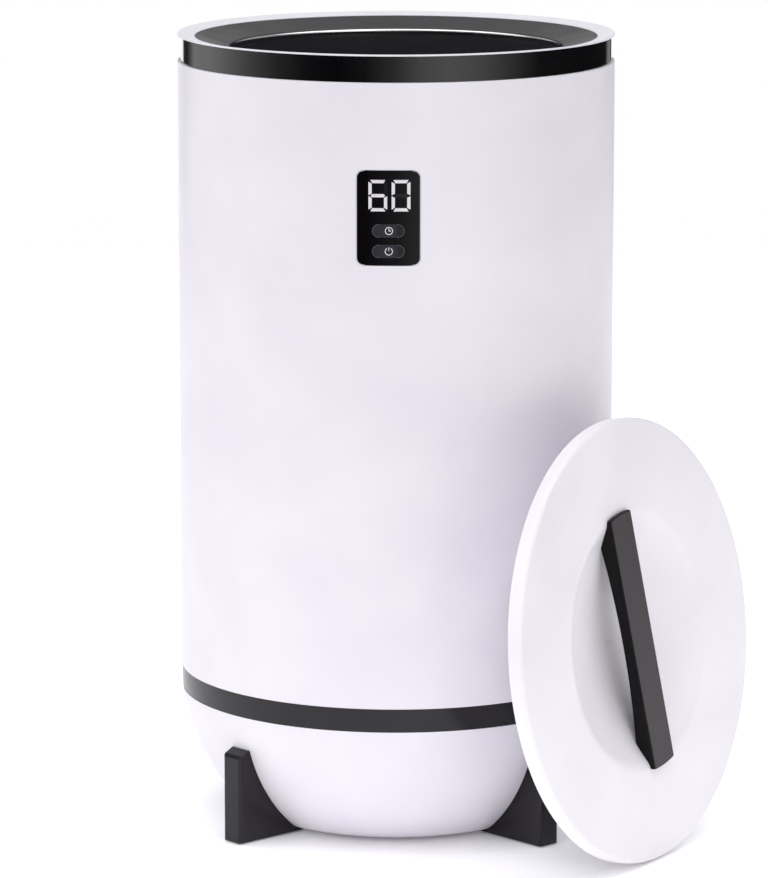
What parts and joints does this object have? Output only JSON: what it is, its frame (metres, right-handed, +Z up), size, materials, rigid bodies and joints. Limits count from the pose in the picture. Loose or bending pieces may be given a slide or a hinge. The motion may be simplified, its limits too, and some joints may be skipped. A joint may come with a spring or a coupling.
{
  "type": "towel warmer bucket",
  "caption": "White round towel warmer bucket with a deep heated pot, front touch display with keys, dark legs, and a lift-off lid leaning against its side.",
  "frame": {"origin": "on the bucket's axis at floor level, under the pot", "axes": "+Z up along the bucket's axis, -Y towards the control panel, +X towards the side the lid leans on, seen from the front"},
  "size_m": [0.3822, 0.4027, 0.5279],
  "materials": {
    "white_shell": "satin",
    "gloss_band": "gloss",
    "dark_band": "satin gloss",
    "dark_collar": "satin",
    "dark_leg": "satin",
    "dark_handle": "satin",
    "pot_coating": "gloss",
    "foot_rubber": "matte",
    "seal_rubber": "matte",
    "screw_steel": "satin",
    "heater_silicone": "matte",
    "heater_plate": "satin",
    "shield_metal": "bright",
    "spacer_plastic": "matte",
    "insulation_felt": "matte",
    "lid_foam": "matte",
    "liner_plastic": "satin",
    "control_body": "matte",
    "panel_lens": "gloss",
    "digit_lit": "lit",
    "digit_unlit": "gloss",
    "key_plastic": "satin",
    "plunger_plastic": "matte",
    "switch_plastic": "matte",
    "housing_plastic": "matte",
    "board": "satin",
    "transformer_core": "satin",
    "connector_plastic": "matte",
    "wire": "satin",
    "gland_plastic": "matte"
  },
  "bodies": {
    "bucket": {"outer_shell": "white_shell", "base_bowl": "white_shell", "rim_ring": "white_shell", "upper_trim_band": "gloss_band", "lower_trim_band": "dark_band", "pot_collar": "dark_collar", "leg_front_left": "dark_leg", "leg_front_right": "dark_leg", "leg_rear_right": "dark_leg", "leg_rear_left": "dark_leg", "inner_pot": "pot_coating", "foot_pads": "foot_rubber", "pot_screws": "screw_steel", "shield_screws": "screw_steel", "leg_screws": "screw_steel", "main_board_screws": "screw_steel", "panel_screws": "screw_steel", "display_screws": "screw_steel", "side_heater": "heater_silicone", "base_heater": "heater_plate", "heat_shield": "shield_metal", "pot_spacers": "spacer_plastic", "insulation_jacket": "insulation_felt", "base_insulation": "insulation_felt", "thermostat": "control_body", "thermal_fuse": "control_body", "panel_lens": "panel_lens", "lit_digits": "digit_lit", "unlit_digits": "digit_unlit", "timer_switch": "switch_plastic", "power_switch": "switch_plastic", "buzzer": "switch_plastic", "display_module": "switch_plastic", "relay": "switch_plastic", "capacitor": "switch_plastic", "panel_housing": "housing_plastic", "display_board": "board", "main_board": "board", "transformer": "transformer_core", "terminal_block": "connector_plastic", "board_header": "connector_plastic", "fuse_holder": "connector_plastic", "display_harness": "wire", "heater_leads": "wire", "cord_gland": "gland_plastic", "gland_nut": "gland_plastic"},
    "timer_key": {"timer_button": "key_plastic", "timer_plunger": "plunger_plastic"},
    "power_key": {"power_button": "key_plastic", "power_plunger": "plunger_plastic"},
    "lid": {"lid_cover": "white_shell", "lid_liner": "liner_plastic", "lid_foam": "lid_foam", "lid_gasket": "seal_rubber", "lid_handle": "dark_handle", "handle_screws": "screw_steel", "lid_screws": "screw_steel"}
  },
  "joints": [
    {"name": "timer_press", "type": "slide", "parent": "bucket", "child": "timer_key", "axis": [0, 1, 0], "range_m": [0, 0.0006], "stiffness_N_per_m": 800, "springref_m": -0.0006},
    {"name": "power_press", "type": "slide", "parent": "bucket", "child": "power_key", "axis": [0, 1, 0], "range_m": [0, 0.0006], "stiffness_N_per_m": 800, "springref_m": -0.0006},
    {"name": "lid_lift", "type": "slide", "parent": "bucket", "child": "lid", "axis": [0.8521, -0.509, 0.1219], "range_m": [0, 0.25]}
  ]
}
